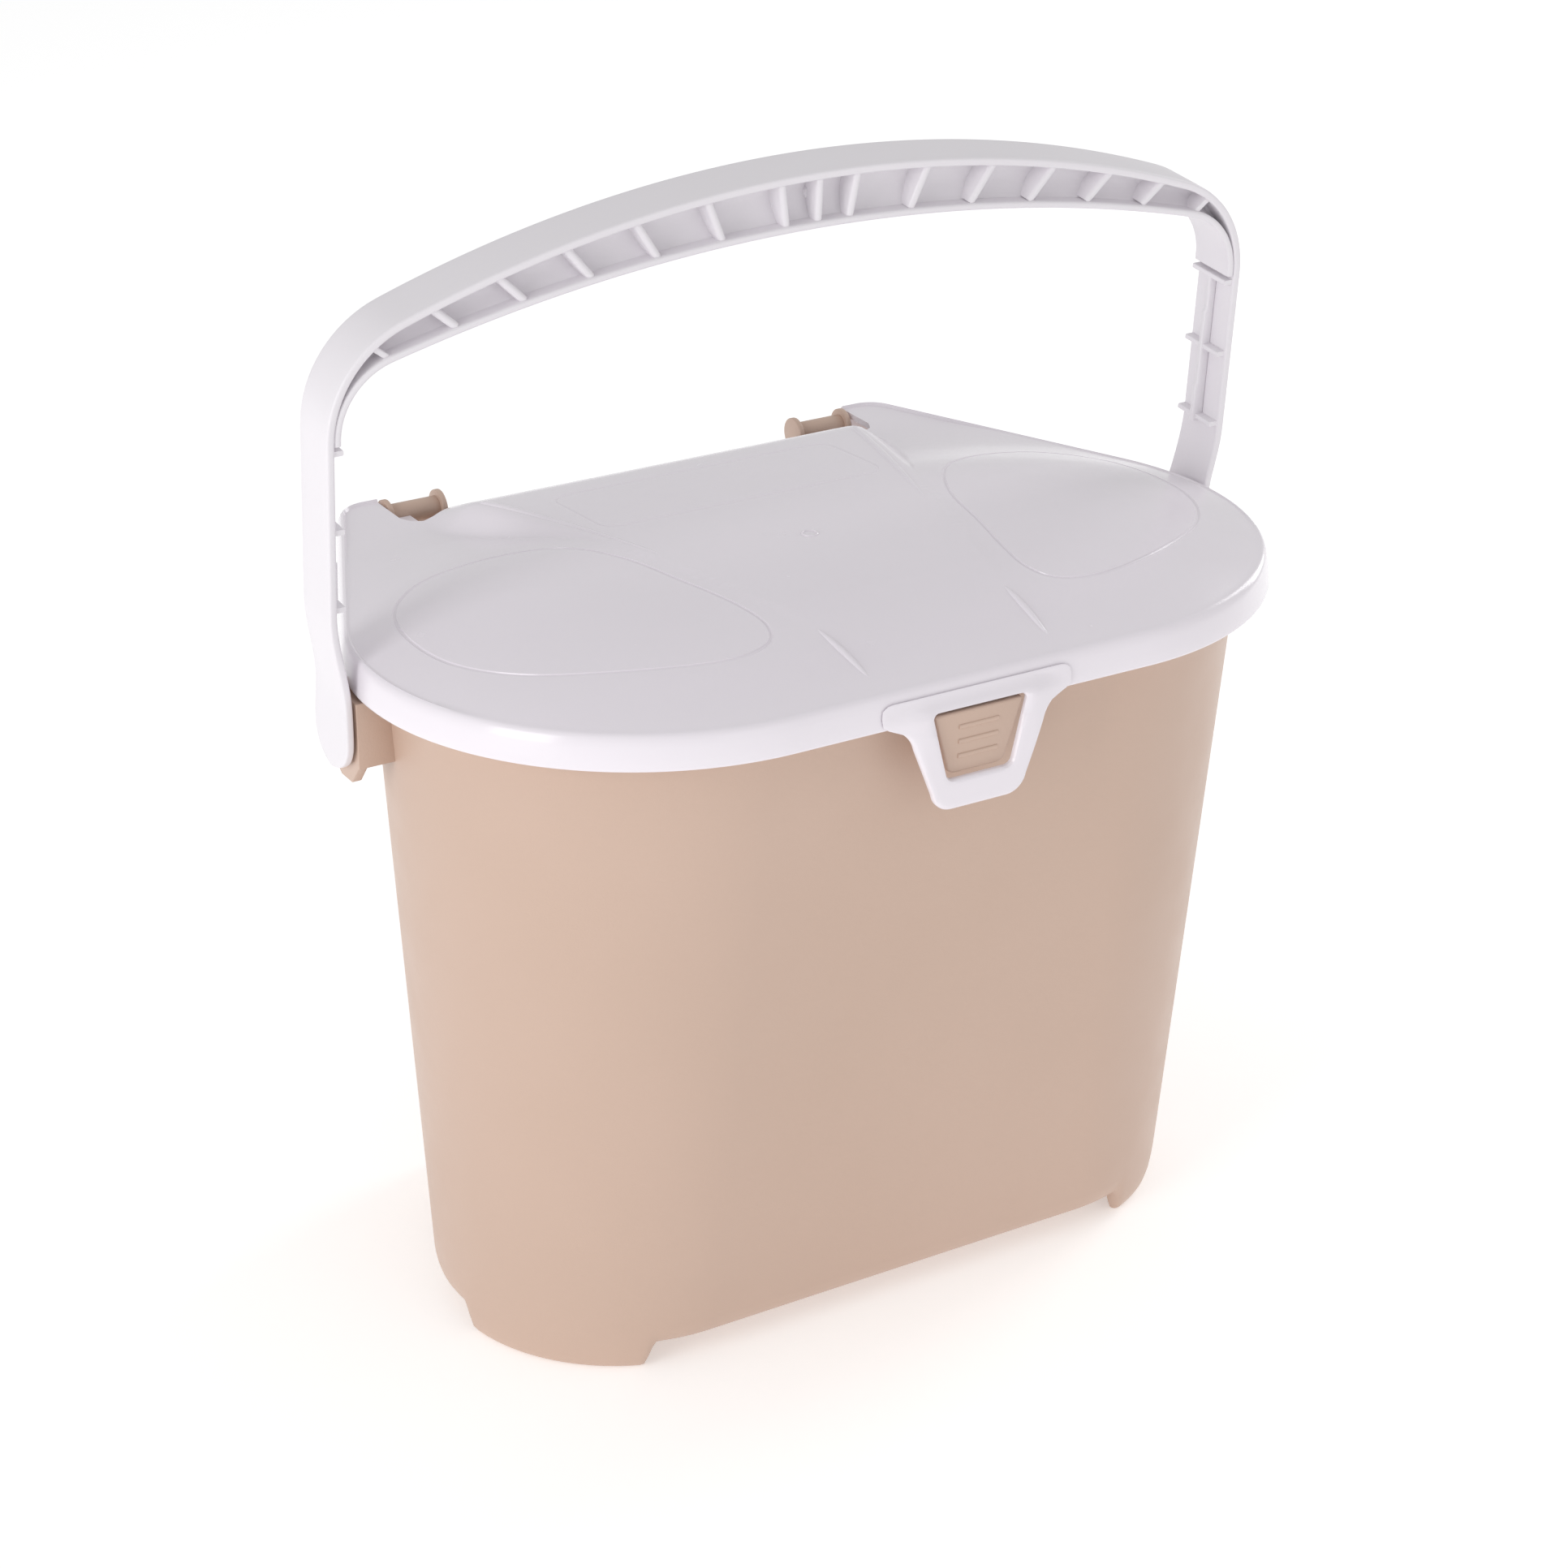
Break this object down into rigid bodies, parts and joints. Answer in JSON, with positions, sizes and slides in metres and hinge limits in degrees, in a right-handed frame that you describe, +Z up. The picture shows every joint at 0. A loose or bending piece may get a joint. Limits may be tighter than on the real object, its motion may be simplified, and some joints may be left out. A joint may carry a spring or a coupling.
{
  "type": "pet food bin",
  "caption": "Tapered dry-food bin with a domed lid hinged at the back, a snap tongue at the front and a ribbed bail handle that swings over the lid.",
  "frame": {"origin": "centre of the footprint on the floor, under the middle of the overall box", "axes": "+Z is up, +X is the bin's right, the latch faces -Y and the hinges are at +Y"},
  "size_m": [0.35, 0.2466, 0.3968],
  "materials": {
    "tub_plastic": "satin warm beige polypropylene with a fine mould texture",
    "lid_plastic": "glossy white polypropylene",
    "handle_plastic": "semi-gloss white polypropylene"
  },
  "bodies": {
    "tub": {"tub": "tub_plastic", "ear_left": "tub_plastic", "ear_right": "tub_plastic", "hinge_bracket_left": "tub_plastic", "hinge_bracket_right": "tub_plastic", "hinge_rod_left": "tub_plastic", "hinge_rod_right": "tub_plastic", "catch_boss": "tub_plastic"},
    "lid": {"lid": "lid_plastic", "lid_clip_left": "lid_plastic", "lid_clip_right": "lid_plastic"},
    "latch": {"latch_tongue": "lid_plastic"},
    "handle": {"handle_strap": "handle_plastic", "handle_web": "handle_plastic", "handle_grip_flange": "handle_plastic", "handle_cross_ribs": "handle_plastic", "handle_leg_rib_left": "handle_plastic", "handle_leg_rib_right": "handle_plastic", "handle_pin_left": "handle_plastic", "handle_pin_right": "handle_plastic"}
  },
  "joints": [
    {"name": "lid_hinge", "type": "hinge", "parent": "tub", "child": "lid", "pos_m": [0, 0.117, 0.2485], "axis": [-1, 0, 0], "range_deg": [0, 34]},
    {"name": "latch_flex", "type": "hinge", "parent": "lid", "child": "latch", "pos_m": [0, -0.1209, 0.2525], "axis": [-1, 0, 0], "range_deg": [0, 12], "stiffness_Nm_per_rad": 0.5},
    {"name": "handle_swing", "type": "hinge", "parent": "tub", "child": "handle", "pos_m": [0, 0, 0.228], "axis": [1, 0, 0], "range_deg": [-125, 115]}
  ]
}
